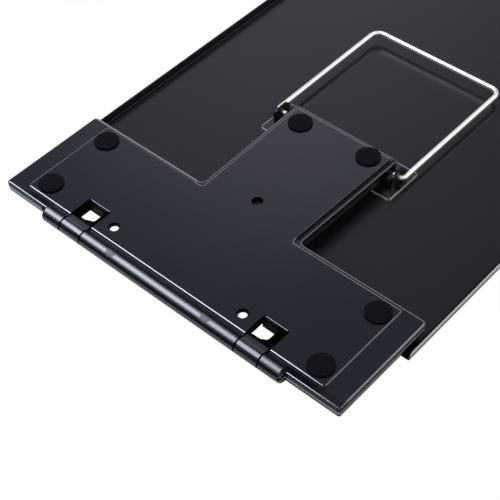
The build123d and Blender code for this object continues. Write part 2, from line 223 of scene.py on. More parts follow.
@dataclass(frozen=True)
class Finish:
    """A surface finish: two close colours that drift into each other, gloss that varies, and a fine relief.

    Sizes are in millimetres. The drift is how wide the colour's clouds are, the grain how wide the relief's
    bumps are, and the relief how high they are. The gloss goes over the middle of the clouds' range.
    """

    name: str = "finish"
    dark: str = "#101010"
    light: str = "#181818"
    gloss: Span = (0.2, 0.3)
    drift: float = 30.0
    drift_detail: float = 4.0
    drift_roughness: float = 0.55
    drift_middle: Span = (0.3, 0.7)
    grain: float = 0.5
    grain_detail: float = 2.0
    grain_roughness: float = 0.6
    relief: float = 0.01
    metallic: float = 0.0
    ior: float = 1.5
    specular: float = 0.5

    def coordinates(self, tree: Tree) -> Link:
        """Return the coordinates that the patterns follow: the object's own."""
        return add_node(tree, "ShaderNodeTexCoord").outputs["Object"]

    def relief_height(self, tree: Tree, place: Link) -> Link:
        """Return the height of the fine relief, from 0 to 1.

        Args:
            tree: Material's tree.
            place: Coordinates that the relief follows.

        Returns:
            The height.
        """
        return add_node(tree, "ShaderNodeTexNoise", named={
            "Vector": place, "Scale": per_metre(self.grain), "Detail": self.grain_detail,
            "Roughness": self.grain_roughness}).outputs["Fac"]

    def patches(self, tree: Tree, place: Link) -> Patches:
        """Return the parts that look different, each with its mask. A plain finish has none."""
        return []

    def material(self) -> bpy.types.Material:
        """Build the finish.

        Returns:
            A material with the finish's colours, gloss, relief and patches.
        """
        material = bpy.data.materials.new(self.name)
        material.use_nodes = True
        tree = material.node_tree
        tree.nodes.clear()
        place = self.coordinates(tree)
        clouds = add_node(tree, "ShaderNodeTexNoise", named={
            "Vector": place, "Scale": per_metre(self.drift), "Detail": self.drift_detail,
            "Roughness": self.drift_roughness}).outputs["Fac"]
        colour = add_node(tree, Step.BLEND, clouds, linear(self.dark), linear(self.light))
        rough = add_node(tree, Step.RANGE, clouds, *self.drift_middle, *self.gloss)
        metal = self.metallic
        for mask, patch in self.patches(tree, place):
            tone = add_node(tree, Step.BLEND, clouds, linear(patch.dark), linear(patch.light))
            colour = add_node(tree, Step.BLEND, mask, colour, tone)
            rough = add_node(tree, Step.RANGE, mask, *FULL, rough, patch.roughness)
            if patch.metallic != self.metallic:
                metal = add_node(tree, Step.RANGE, mask, *FULL, metal, patch.metallic)
        bump = add_node(tree, "ShaderNodeBump", named={
            "Height": self.relief_height(tree, place), "Distance": self.relief * MM, "Strength": 1.0})
        shader = add_node(tree, "ShaderNodeBsdfPrincipled", named={
            "Base Color": colour, "Roughness": rough, "Metallic": metal, "IOR": self.ior,
            "Specular IOR Level": self.specular, "Normal": bump})
        add_node(tree, "ShaderNodeOutputMaterial", named={"Surface": shader})
        return material


@dataclass(frozen=True)
class MouldedPlastic(Finish):
    """Injection-moulded ABS: blue-black and glossy, duller on the barrel and in the holes.

    Painted highlights make its edges lighter grey, with a metallic one along the front. Painted shade
    darkens the holes' and windows' walls, the strip behind the barrel, the barrel low in front and on its
    back, the stem's right side, and the groove and the foot of the skirt; a painted reflection lightens the
    bead between them.

    The tool's fine grain is about 0.15 mm. It is drawn at 0.6 mm, because finer grain is lost in the render.
    Places are in millimetres, and those of the barrel, the holes and the pin marks are on the side where
    they are positive. Tilts, fronts, backs, shades and lees are parts of the surface's direction, from -1
    to 1.
    """

    name: str = "moulded_black_abs"
    dark: str = "#0a0c11"
    light: str = "#0c0e14"
    gloss: Span = (0.08, 0.11)
    drift: float = 40.0
    grain: float = 0.6
    relief: float = 0.0006
    ior: float = 1.54
    specular: float = 0.6
    blur: float = 0.05
    # The barrel with its two pin marks, with painted shade low in front and on its back.
    barrel_axis: Point = (0.0, 176.1, 24.6)
    barrel_diameter: float = 9.9
    barrel_half: Span = (84.8, 84.4)
    barrel: Patch = Patch("#06090f", "#080b12", 0.33)
    barrel_shade: Levels = (0.32, 0.42, 0.62, 0.72)
    barrel_shade_share: float = 0.65
    barrel_lee: Span = (0.05, 0.2)
    barrel_lee_share: float = 0.92
    mark_place: Point = (34.3, 176.4, 0.0)
    mark_diameter: float = 6.6
    mark: Patch = Patch("#06090f", "#080b12", 0.55)
    # The rounded edges, and the strip of flange behind the left wing's panel, lightened by painted
    # highlights; the front edges get a painted metallic highlight, and the left wing's panel edge painted
    # shade.
    edge_tilts: Levels = (0.2, 0.5, 0.98, 0.997)
    edge_front: Span = (-0.4, -0.2)
    edge_back: Span = (0.2, 0.4)
    edge_start: Span = (-170.0, -169.5)
    edge: Patch = Patch("#474544", "#52504f", 0.22)
    back_edge: Patch = Patch("#5f5c5a", "#696664", 0.22)
    front_edge: Patch = Patch("#515255", "#595a5d", 0.1, 1.0)
    front_end: Span = (-168.6, -168.1)
    left_wing: Span = (-36.0, -38.0)
    wing_strip: Levels = (-108.6, -108.2, -105.5, -105.0)
    wing_panel_edge: Levels = (-112.0, -111.5, -109.2, -108.8)
    wing_panel_share: float = 0.9
    # Painted shade on the sheltered sides: the panel's right side, and the strips beside the stem and behind
    # the barrel.
    lee: Span = (0.2, 0.4)
    lee_level: Span = (27.3, 27.5)
    lee_start: Span = (-108.0, -105.0)
    lee_shares: Span = (0.5, 0.93)
    stem_side: Point = (1.0, -0.0218, 0.0)
    stem_strip: Span = (36.4, 36.9)
    stem_strip_share: float = 0.6
    hinge_strip: Span = (171.3, 171.8)
    hinge_strip_ends: Span = (98.0, 118.0)
    hinge_strip_shares: Span = (0.85, 0.35)
    # The skirt's outer walls, with a bead lightened by painted reflection between a groove and a foot
    # darkened by painted shade.
    wall_tilts: Span = (0.75, 0.6)
    plate_middle: Point = (0.0, -140.0, 0.0)
    outward: Span = (1.0, 3.0)
    groove: Levels = (24.5, 24.9, 26.1, 26.5)
    skirt_foot: Span = (22.7, 22.2)
    bead: Levels = (22.6, 23.0, 24.3, 24.7)
    # The round holes, the screw's cup and the two windows, whose walls are darkened by painted shade.
    hole_places: tuple[Point, ...] = ((46.5, 162.7, 0.0), (0.0, 99.3, 0.0))
    hole_diameter: float = 6.6
    window_middle: Point = (63.85, 163.65, 0.0)
    window_half: Point = (8.4, 7.15, 100.0)

    def round_mask(self, tree: Tree, folded: Link, middle: Point, diameter: float,
                   across: Point = ALONG_XY) -> Link:
        """Return the mask of a round bar and of its mirror image.

        Args:
            tree: Material's tree.
            folded: Coordinates with every sign dropped.
            middle: A point on the bar's axis.
            diameter: Width of the bar.
            across: 1 for each axis that the bar's width is measured along.

        Returns:
            A mask that is 1 in the bar and 0 outside it.
        """
        offset = add_node(tree, Step.SUBTRACT, folded, metres(middle))
        reach = add_node(tree, Step.LENGTH, add_node(tree, Step.MULTIPLY, offset, across))
        skin = metres((diameter / 2 - self.blur, diameter / 2))
        return add_node(tree, Step.RANGE, reach, *skin, 1.0, 0.0)

    def windows(self, tree: Tree, folded: Link) -> Link:
        """Return the mask of the two windows' walls.

        Args:
            tree: Material's tree.
            folded: Coordinates with every sign dropped.

        Returns:
            A mask that is 1 in the windows and 0 outside them.
        """
        offset = add_node(tree, Step.SUBTRACT, folded, metres(self.window_middle))
        past = add_node(tree, Step.SUBTRACT, add_node(tree, Step.ABSOLUTE, offset), metres(self.window_half))
        return add_node(tree, Step.RANGE, outside(tree, past), 0.0, self.blur * MM, 1.0, 0.0)

    def hinge(self, tree: Tree, far: Parts, facing: Parts, barrel: Link) -> Patches:
        """Return the painted shade at the hinge: the barrel low in front and on its back, and the strip
        behind it.

        Args:
            tree: Material's tree.
            far: Parts of the coordinates with every sign dropped.
            facing: Parts of the surface's direction.
            barrel: Mask of the barrel.

        Returns:
            One mask of it all, with the painted shade patch.
        """
        ends = metres(self.hinge_strip_ends)
        share = add_node(tree, Step.RANGE, far["X"], *ends, *self.hinge_strip_shares)
        behind = add_node(tree, Step.RANGE, far["Y"], *metres(self.hinge_strip), 0.0, share)
        strip = add_node(tree, Step.RANGE, facing["Z"], *self.wall_tilts, behind, 0.0)
        # Painted shade low on the barrel's front and, stronger, on its back.
        low = band(tree, facing["Z"], self.barrel_shade)
        shade = add_node(tree, Step.RANGE, low, *FULL, 0.0, self.barrel_shade_share)
        turned_away = add_node(tree, Step.RANGE, facing["Y"], *self.barrel_lee, shade, self.barrel_lee_share)
        return [(add_node(tree, Step.RANGE, barrel, *FULL, strip, turned_away), PAINTED_SHADE)]

    def edges(self, tree: Tree, spot: Parts, facing: Parts, barrel: Link) -> Patches:
        """Return the painted highlights on the rounded edges: lighter grey, most behind the left wing's
        panel, and a metallic one in front, with painted shade on that wing's panel edge.

        Args:
            tree: Material's tree.
            spot: Parts of the object's own coordinates.
            facing: Parts of the surface's direction.
            barrel: Mask of the barrel, which isn't an edge.

        Returns:
            The mask of each kind of edge, with its patch.
        """
        steep, turned, flattening, flat = self.edge_tilts
        lower = add_node(tree, Step.RANGE, facing["Z"], steep, turned, *FULL)
        rounded = add_node(tree, Step.RANGE, facing["Z"], flattening, flat, lower, 0.0)
        off_barrel = add_node(tree, Step.RANGE, barrel, *FULL, rounded, 0.0)
        nose = add_node(tree, Step.RANGE, spot["Y"], *metres(self.front_end), off_barrel, 0.0)
        front = add_node(tree, Step.RANGE, facing["Y"], *self.edge_front, nose, 0.0)
        sides = add_node(tree, Step.RANGE, facing["Y"], *self.edge_front, 0.0, rounded)
        # Painted highlight on the side and back edges; painted metallic highlight on the front edges;
        # painted shade on the left wing's panel edge.
        painted_highlight = add_node(tree, Step.RANGE, spot["Y"], *metres(self.edge_start), 0.0, sides)
        back = add_node(tree, Step.RANGE, facing["Y"], *self.edge_back, 0.0, painted_highlight)
        flange = band(tree, spot["Y"], metres(self.wing_strip))
        wing = add_node(tree, Step.RANGE, spot["X"], *metres(self.left_wing), 0.0, flange)
        strip = add_node(tree, Step.RANGE, facing["Z"], *self.wall_tilts, wing, 0.0)
        panel = band(tree, spot["Y"], metres(self.wing_panel_edge))
        rim = add_node(tree, Step.RANGE, spot["X"], *metres(self.left_wing), 0.0, panel)
        share = add_node(tree, Step.RANGE, rim, *FULL, 0.0, self.wing_panel_share)
        dim = add_node(tree, Step.RANGE, back, *FULL, 0.0, share)
        return [(strip, self.back_edge), (painted_highlight, self.edge), (back, self.back_edge), (dim, PAINTED_SHADE),
                (front, self.front_edge)]

    def lee_sides(self, tree: Tree, place: Link, spot: Parts, facing: Parts) -> Patches:
        """Return the painted shade on the sheltered right: the panel's right side, and the strip beside the
        stem.

        Args:
            tree: Material's tree.
            place: The object's own coordinates.
            spot: Parts of the same coordinates.
            facing: Parts of the surface's direction.

        Returns:
            The masks of both, each with the painted shade patch.
        """
        share = add_node(tree, Step.RANGE, spot["Y"], *metres(self.lee_start), *self.lee_shares)
        raised = add_node(tree, Step.RANGE, spot["Z"], *metres(self.lee_level), 0.0, share)
        panel = add_node(tree, Step.RANGE, facing["X"], *self.lee, 0.0, raised)
        aside = add_node(tree, Step.DOT, place, self.stem_side)
        beside = add_node(tree, Step.RANGE, spot["Y"], *metres(self.lee_start), 0.0, self.stem_strip_share)
        strip = add_node(tree, Step.RANGE, aside, *metres(self.stem_strip), 0.0, beside)
        flange = add_node(tree, Step.RANGE, spot["Z"], *metres(self.lee_level), strip, 0.0)
        return [(panel, PAINTED_SHADE), (flange, PAINTED_SHADE)]

    def outer_walls(self, tree: Tree, place: Link, normal: Link, barrel: Link) -> Link:
        """Return the mask of the skirt's outer walls: what stands upright and looks away from the middle.

        Args:
            tree: Material's tree.
            place: The object's own coordinates.
            normal: The surface's direction.
            barrel: Mask of the barrel, which isn't a wall.

        Returns:
            A mask that is 1 on the outer walls and 0 elsewhere.
        """
        offset = add_node(tree, Step.SUBTRACT, place, metres(self.plate_middle))
        away = add_node(tree, Step.DOT, add_node(tree, Step.MULTIPLY, offset, ALONG_XY), normal)
        tilt = add_node(tree, Step.SPLIT, add_node(tree, Step.ABSOLUTE, normal)).outputs["Z"]
        off_barrel = add_node(tree, Step.RANGE, barrel, *FULL, 1.0, 0.0)
        outer = add_node(tree, Step.RANGE, away, *metres(self.outward), 0.0, off_barrel)
        return add_node(tree, Step.RANGE, tilt, *self.wall_tilts, 0.0, outer)

    def patches(self, tree: Tree, place: Link) -> Patches:
        """Return the duller barrel with its pin marks, the painted highlights on the edges and bead, and the
        painted shade in sheltered places and on the holes' and windows' walls.

        Args:
            tree: Material's tree.
            place: The object's own coordinates.

        Returns:
            The mask of each, with its patch, from the lowest layer up.
        """
        folded = add_node(tree, Step.ABSOLUTE, place)
        far = add_node(tree, Step.SPLIT, folded).outputs
        spot = add_node(tree, Step.SPLIT, place).outputs
        normal = add_node(tree, "ShaderNodeTexCoord").outputs["Normal"]
        facing = add_node(tree, Step.SPLIT, normal).outputs
        bar = self.round_mask(tree, folded, self.barrel_axis, self.barrel_diameter, ALONG_YZ)
        barrel = add_node(tree, Step.RANGE, far["X"], *metres(self.barrel_half), 0.0, bar)
        marks = self.round_mask(tree, folded, self.mark_place, self.mark_diameter)
        holes = [self.round_mask(tree, folded, hole, self.hole_diameter) for hole in self.hole_places]
        walls = self.outer_walls(tree, place, normal, barrel)
        # Painted reflection on the bead, and painted shade on the groove and the skirt's foot.
        bead = add_node(tree, Step.RANGE, walls, *FULL, 0.0, band(tree, far["Z"], metres(self.bead)))
        painted_highlight = add_node(tree, Step.RANGE, spot["Y"], *metres(self.lee_start), bead, 0.0)
        groove = band(tree, far["Z"], metres(self.groove))
        dim = add_node(tree, Step.RANGE, far["Z"], *metres(self.skirt_foot), groove, 1.0)
        skirt = add_node(tree, Step.RANGE, walls, *FULL, 0.0, dim)
        return [(barrel, self.barrel), (marks, self.mark), (painted_highlight, self.edge),
                *self.hinge(tree, far, facing, barrel), *self.edges(tree, spot, facing, barrel),
                *self.lee_sides(tree, place, spot, facing), (skirt, PAINTED_SHADE),
                *((hole, PAINTED_SHADE) for hole in holes), (self.windows(tree, folded), PAINTED_SHADE)]


@dataclass(frozen=True)
class LedgePlastic(MouldedPlastic):
    """The same ABS off a spark-eroded tool, on the ledge and the rack.

    It is satin rather than glossy, so the knuckles take a wider, duller gleam.
    """

    name: str = "satin_black_abs"
    dark: str = "#07090e"
    light: str = "#0a0c11"
    gloss: Span = (0.22, 0.26)
    drift: float = 25.0
    grain: float = 0.5
    relief: float = 0.0015
    specular: float = 0.5

    def patches(self, tree: Tree, place: Link) -> Patches:
        """Return the arms that show in the windows, darkened by painted shade like the windows' walls."""
        return [(self.windows(tree, add_node(tree, Step.ABSOLUTE, place)), PAINTED_SHADE)]


@dataclass(frozen=True)
class CoatedSheet(Finish):
    """Aluminium sheet with a satin black coat on its back, and bare bright metal on its front.

    The coat has the slow ripple that it dries to. The sheet's front side goes round the outer bends, so it
    also makes the rims' outer faces. Painted shade darkens the left fold, the right rim's top and the lower
    halves of the rims' outer faces.
    """

    name: str = "black_coated_aluminium"
    dark: str = "#0b090c"
    light: str = "#0e0c10"
    gloss: Span = (0.21, 0.25)
    drift: float = 70.0
    grain: float = 1.8
    relief: float = 0.003
    specular: float = 0.4
    outer_bend: float = 1.8
    coat_edge: Span = (0.18, 0.06)
    bare: Patch = Patch("#dedbd6", "#e9e6e1", 0.3, 1.0)
    # Painted shade on the lower half of the rims' bare outer faces, between these heights.
    shade: Patch = Patch("#8b898a", "#979595", 0.3, 1.0)
    shade_levels: Levels = (14.3, 14.9, 17.4, 18.2)
    # Painted shade on the left rim's inner fold and, by its own share, on the right rim's top.
    fold_start: Span = (-119.2, -119.7)
    fold_share: float = 0.5
    rim_top_start: Span = (120.8, 121.1)
    rim_top_share: float = 0.9

    def bare_side(self, tree: Tree, place: Link) -> Link:
        """Return the mask of the sheet's bare side: all that lies close inside the bent outline.

        Args:
            tree: Material's tree.
            place: The object's own coordinates.

        Returns:
            A mask that is 1 on the bare side and 0 where the coat has begun.
        """
        low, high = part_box("page_board")
        bend = self.outer_bend * MM
        folded = add_node(tree, Step.ABSOLUTE, place)
        back_and_down = (0.0, 1.0, -1.0)
        sides = add_node(tree, Step.MULTIPLY, folded, ALONG_X)
        ends = add_node(tree, Step.MULTIPLY, place, back_and_down)
        outward = add_node(tree, Step.ADD, sides, ends)
        past = add_node(tree, Step.SUBTRACT, outward, (high.x - bend, high.y - bend, -low.z - bend))
        start, end = (bend - depth * MM for depth in self.coat_edge)
        return add_node(tree, Step.RANGE, outside(tree, past), start, end, *FULL)

    def patches(self, tree: Tree, place: Link) -> Patches:
        """Return the painted shade on the left fold and the right rim's top, the bare side, and the painted
        shade on the rims' lower halves.

        Args:
            tree: Material's tree.
            place: The object's own coordinates.

        Returns:
            The mask of each, with its patch, from the lowest layer up.
        """
        spot = add_node(tree, Step.SPLIT, place).outputs
        rim_top = add_node(tree, Step.RANGE, spot["X"], *metres(self.rim_top_start), 0.0, self.rim_top_share)
        fold = add_node(tree, Step.RANGE, spot["X"], *metres(self.fold_start), rim_top, self.fold_share)
        bare = self.bare_side(tree, place)
        start, full, fading, end = metres(self.shade_levels)
        raised = add_node(tree, Step.RANGE, spot["Z"], start, full, 0.0, bare)
        lower_half = add_node(tree, Step.RANGE, spot["Z"], fading, end, raised, 0.0)
        return [(fold, PAINTED_SHADE), (bare, self.bare), (lower_half, self.shade)]


@dataclass(frozen=True)
class StampedSteel(Finish):
    """Stamped steel, dipped in black enamel: glossier and blacker than the sheet, smooth, a little wavy."""

    name: str = "black_enamel_steel"
    dark: str = "#09090b"
    light: str = "#0f0f11"
    gloss: Span = (0.12, 0.2)
    drift: float = 12.0
    grain: float = 1.2
    relief: float = 0.003
    ior: float = 1.52
    specular: float = 0.6


@dataclass(frozen=True)
class ShearedSteel(StampedSteel):
    """The same enamelled steel as a sheet, whose base is a lighter yellow-grey all round its outline."""

    name: str = "black_enamel_sheet_steel"
    base_top: Span = (16.7, 16.5)
    border: Span = (0.35, 0.25)
    outline_band: Patch = Patch("#8b8372", "#9a9282", 0.4)
    # Painted shade on the ears, by this share.
    ear_share: float = 0.75

    def patches(self, tree: Tree, place: Link) -> Patches:
        """Return the painted shade on the ears, and the lighter yellow-grey band close to the base's
        outline.

        Args:
            tree: Material's tree.
            place: The object's own coordinates.

        Returns:
            The masks of both, each with its patch.
        """
        low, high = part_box("bail_bracket")
        middle, half = (low + high) / 2, (high - low) / 2
        offset = add_node(tree, Step.SUBTRACT, place, tuple(middle))
        inset = add_node(tree, Step.SUBTRACT, tuple(half), add_node(tree, Step.ABSOLUTE, offset))
        gap = add_node(tree, Step.SPLIT, inset).outputs
        height = add_node(tree, Step.SPLIT, place).outputs["Z"]
        ends = add_node(tree, Step.RANGE, gap["X"], *metres(self.border), *FULL)
        outline = add_node(tree, Step.RANGE, gap["Y"], *metres(self.border), ends, 1.0)
        ears = add_node(tree, Step.RANGE, height, *metres(self.base_top), self.ear_share, 0.0)
        base = add_node(tree, Step.RANGE, height, *metres(self.base_top), 0.0, outline)
        return [(ears, PAINTED_SHADE), (base, self.outline_band)]


@dataclass(frozen=True)
class MattRubber(Finish):
    """Die-cut sheet rubber: matt, black, with a pebbled skin that scatters a faint speckle.

    The skin's pebbles are about 0.4 mm. They are drawn at 0.8 mm, because finer ones are lost in the render.
    """

    name: str = "matt_black_rubber"
    dark: str = "#030304"
    light: str = "#0d0d11"
    gloss: Span = (0.7, 0.9)
    drift: float = 1.4
    grain: float = 0.8
    relief: float = 0.03
    ior: float = 1.52
    specular: float = 0.03

    def relief_height(self, tree: Tree, place: Link) -> Link:
        """Return the height of the pebbles: round cells, each with its own crown."""
        cells = {"Vector": place, "Scale": per_metre(self.grain)}
        return add_node(tree, "ShaderNodeTexVoronoi", named=cells, feature="SMOOTH_F1").outputs["Distance"]


@dataclass(frozen=True)
class BareSteel(Finish):
    """Zinc-plated steel: grey, half bright, with the cloudy spangle of a barrel-plated fastener."""

    name: str = "zinc_plated_steel"
    dark: str = "#8b8b88"
    light: str = "#b4b4b0"
    gloss: Span = (0.25, 0.4)
    drift: float = 1.5
    grain: float = 0.3
    relief: float = 0.004
    metallic: float = 1.0


@dataclass(frozen=True)
class BrightWire(Finish):
    """Nickel-plated drawn wire: a warm, almost white gleam, softened by faint die lines along its length.

    Die lines are about 0.05 mm apart. They are drawn at 0.3 mm, because finer ones are lost in the render.
    """

    name: str = "nickel_plated_wire"
    dark: str = "#e2dccf"
    light: str = "#f6f0e6"
    gloss: Span = (0.38, 0.44)
    drift: float = 2.0
    grain: float = 0.3
    relief: float = 0.0005
    metallic: float = 1.0
    stretch: float = 0.02

    def coordinates(self, tree: Tree) -> Link:
        """Return coordinates across the wire's section and, much drawn out, along its length.

        Args:
            tree: Material's tree.

        Returns:
            The coordinates.
        """
        section = add_node(tree, "ShaderNodeAttribute", attribute_name="section").outputs["Vector"]
        along = add_node(tree, "ShaderNodeAttribute", attribute_name="along").outputs["Fac"]
        drawn = add_node(tree, Step.TIMES, along, self.stretch)
        length = add_node(tree, "ShaderNodeCombineXYZ", named={"Z": drawn})
        return add_node(tree, Step.ADD, section, length)


FINISHES: dict[Look, Finish] = {
    Look.SHEET: CoatedSheet(),
    Look.PLASTIC: MouldedPlastic(),
    Look.LEDGE: LedgePlastic(),
    Look.STAMPING: StampedSteel(),
    Look.BRACKET: ShearedSteel(),
    Look.WIRE: BrightWire(),
    Look.STEEL: BareSteel(),
    Look.RUBBER: MattRubber(),
}


class Palette:
    """The built materials, one for each look."""

    def __init__(self) -> None:
        """Build every finish once."""
        self.materials = {look: finish.material() for look, finish in FINISHES.items()}

    def paint(self, node: str, look: Look) -> None:
        """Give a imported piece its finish.

        Args:
            node: Piece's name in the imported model.
            look: Finish that it takes.
        """
        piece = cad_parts[node]
        for place in piece.material_slots:
            place.material = self.materials[look]
        log.info("packed piece %s takes %s", node, FINISHES[look].name)


@dataclass
class NodesPiece:
    """A piece that a Geometry Nodes tree makes from a few points, baked to one plain mesh."""

    name: str
    body: Body
    slot: Slot
    look: Look
    stands_for: list[str]
    crease: float = 35.0

    def bake(self, points: list[Point], edges: list[tuple[int, int]], tags: dict[str, list[float]],
             tree: Tree, sizes: dict[str, Any]) -> None:
        """Run a tree on points and hang the result on its body.

        Args:
            points: Points in metres.
            edges: Pairs of point numbers.
            tags: Values for each point, by attribute name.
            tree: Geometry Nodes tree.
            sizes: Values for the tree's inputs, by name.
        """
        mesh = bpy.data.meshes.new(self.name)
        mesh.from_pydata(points, edges, [])
        for tag, values in tags.items():
            mesh.attributes.new(tag, "FLOAT", "POINT").data.foreach_set("value", values)
        piece = bpy.data.objects.new(self.name, mesh)
        bpy.context.scene.collection.objects.link(piece)
        modifier = piece.modifiers.new(tree.name, "NODES")
        modifier.node_group = tree
        inputs = [item for item in tree.interface.items_tree if item.in_out == "INPUT"]
        keys = {item.name: item.identifier for item in inputs}
        for name, value in sizes.items():
            modifier[keys[name]] = value
        graph = bpy.context.evaluated_depsgraph_get()
        baked = bpy.data.meshes.new_from_object(piece.evaluated_get(graph), preserve_all_data_layers=True,
                                                depsgraph=graph)
        piece.modifiers.remove(modifier)
        piece.data = baked
        baked.name = self.name
        baked.shade_smooth()
        baked.set_sharp_from_angle(angle=math.radians(self.crease))
        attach(piece, self.body.value)
        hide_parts(*self.stands_for)
        log.info("piece %s rides on %s with %d faces", self.name, self.body.value, len(baked.polygons))


def start_tree(name: str, inputs: dict[str, str]) -> tuple[Tree, Parts]:
    """Begin a Geometry Nodes tree with a geometry in and out, named size inputs and a material input.

    Args:
        name: Tree's name.
        inputs: Socket type of each size input, by its name.

    Returns:
        The tree and its inputs.
    """
    tree = bpy.data.node_groups.new(name, "GeometryNodeTree")
    tree.interface.new_socket("Geometry", in_out="OUTPUT", socket_type="NodeSocketGeometry")
    tree.interface.new_socket("Geometry", in_out="INPUT", socket_type="NodeSocketGeometry")
    for title, kind in inputs.items():
        tree.interface.new_socket(title, in_out="INPUT", socket_type=kind)
    tree.interface.new_socket("Material", in_out="INPUT", socket_type="NodeSocketMaterial")
    return tree, add_node(tree, "NodeGroupInput").outputs


def end_tree(tree: Tree, source: Parts, geometry: Link) -> None:
    """Close a Geometry Nodes tree: realise its instances and give the result its material.

    Args:
        tree: Tree to close.
        source: Tree's inputs.
        geometry: What the tree has made.
    """
    real = add_node(tree, "GeometryNodeRealizeInstances", named={"Geometry": geometry})
    painted = add_node(tree, "GeometryNodeSetMaterial", named={
        "Geometry": real, "Material": source["Material"]})
    add_node(tree, "NodeGroupOutput", named={"Geometry": painted})


def bent_wire_tree() -> Tree:
    """Make the tree that bends a wire along points, each with its own bend radius and girth.

    Returns:
        The tree, with inputs for the wire's radius, its sides and the steps in each bend.
    """
    tree, source = start_tree("bent_wire", {
        "Wire Radius": "NodeSocketFloat", "Sides": "NodeSocketInt", "Bend Steps": "NodeSocketInt"})
    line = add_node(tree, "GeometryNodeMeshToCurve", named={"Mesh": source["Geometry"]})
    bend = add_node(tree, "GeometryNodeInputNamedAttribute", named={"Name": "bend"}).outputs["Attribute"]
    girth = add_node(tree, "GeometryNodeInputNamedAttribute", named={"Name": "girth"}).outputs["Attribute"]
    rounded = add_node(tree, "GeometryNodeFilletCurve", mode="POLY", named={
        "Curve": line, "Count": source["Bend Steps"], "Radius": bend, "Limit Radius": True})
    length = add_node(tree, "GeometryNodeSplineParameter").outputs["Length"]
    path = add_node(tree, "GeometryNodeStoreNamedAttribute", named={
        "Geometry": rounded, "Name": "along", "Value": length})
    ring = add_node(tree, "GeometryNodeCurvePrimitiveCircle", named={
        "Resolution": source["Sides"], "Radius": source["Wire Radius"]})
    spot = add_node(tree, "GeometryNodeInputPosition")
    section = add_node(tree, "GeometryNodeStoreNamedAttribute", data_type="FLOAT_VECTOR", named={
        "Geometry": ring, "Name": "section", "Value": spot})
    wire = add_node(tree, "GeometryNodeCurveToMesh", named={
        "Curve": path, "Profile Curve": section, "Scale": girth, "Fill Caps": True})
    end_tree(tree, source, wire)
    return tree


def turned_pieces_tree() -> Tree:
    """Make the tree that turns a half profile about its axis and sets a copy at each place.

    The points tagged 0 are the profile, as radius, height and nothing, from the top's middle round to the
    bottom's. The points tagged 1 are the places. A grid takes the profile along one side and the way round
    along the other, and its seam and its two tips are then welded.

    Returns:
        The tree, with inputs for the sides and the number of profile points.
    """
    tree, source = start_tree("turned_pieces", {"Sides": "NodeSocketInt", "Profile Points": "NodeSocketInt"})
    tag = add_node(tree, "GeometryNodeInputNamedAttribute", named={"Name": "place"}).outputs["Attribute"]
    parted = add_node(tree, "GeometryNodeSeparateGeometry", named={
        "Geometry": source["Geometry"], "Selection": tag}).outputs
    around = add_node(tree, Step.PLUS, source["Sides"], 1.0)
    sheet = add_node(tree, "GeometryNodeMeshGrid", named={
        "Vertices X": source["Profile Points"], "Vertices Y": around})
    index = add_node(tree, "GeometryNodeInputIndex")
    row = add_node(tree, Step.ROUND_DOWN, add_node(tree, Step.OVER, index, around))
    column = add_node(tree, Step.REMAINDER, index, around)
    angle = add_node(tree, Step.TIMES, add_node(tree, Step.OVER, column, source["Sides"]), math.tau)
    spot = add_node(tree, "GeometryNodeInputPosition")
    sample = add_node(tree, "GeometryNodeSampleIndex", data_type="FLOAT_VECTOR", named={
        "Geometry": parted["Inverted"], "Value": spot, "Index": row})
    radius_height = add_node(tree, Step.SPLIT, sample).outputs
    reach = add_node(tree, "ShaderNodeCombineXYZ", named={"X": radius_height["X"]})
    turned = add_node(tree, "ShaderNodeVectorRotate", rotation_type="Z_AXIS", named={
        "Vector": reach, "Angle": angle})
    rise = add_node(tree, "ShaderNodeCombineXYZ", named={"Z": radius_height["Y"]})
    shaped = add_node(tree, "GeometryNodeSetPosition", named={
        "Geometry": sheet, "Position": add_node(tree, Step.ADD, turned, rise)})
    closed = add_node(tree, "GeometryNodeMergeByDistance", named={
        "Geometry": shaped, "Distance": WELD_REACH})
    copies = add_node(tree, "GeometryNodeInstanceOnPoints", named={
        "Points": parted["Selection"], "Instance": closed})
    end_tree(tree, source, copies)
    return tree


@dataclass
class TurnedPieces(NodesPiece):
    """Equal turned pieces, such as rivets or rubber discs, at a list of places."""

    sides: int = 64

    def build(self, profile: Profile, places: list[Point], tree: Tree, palette: Palette) -> None:
        """Turn the profile and set a copy at each place.

        Args:
            profile: Radius and height of each point, in millimetres, from the top's middle downwards.
            places: Where the copies go, in metres.
            tree: Tree that turns a profile.
            palette: Built materials.
        """
        points = [(radius * MM, height * MM, 0.0) for radius, height in profile] + places
        tags = {"place": [0.0] * len(profile) + [1.0] * len(places)}
        sizes = {"Sides": self.sides, "Profile Points": len(profile),
                 "Material": palette.materials[self.look]}
        self.bake(points, [], tags, tree, sizes)


def arc(centre: tuple[float, float], radius: float, start: float, end: float, steps: int) -> Profile:
    """Return points along an arc, in the profile's own plane.

    Args:
        centre: Middle of the arc.
        radius: Radius of the arc.
        start: Angle of the first point, in degrees.
        end: Angle of the last point, in degrees.
        steps: Number of pieces that the arc is cut into.

    Returns:
        The points, from start to end.
    """
    angles = [math.radians(start + (end - start) * step / steps) for step in range(steps + 1)]
    return [(centre[0] + radius * math.cos(a), centre[1] + radius * math.sin(a)) for a in angles]


def spread(low: float, high: float, count: int) -> list[float]:
    """Return evenly spaced values from low to high."""
    return [low + (high - low) * step / (count - 1) for step in range(count)]


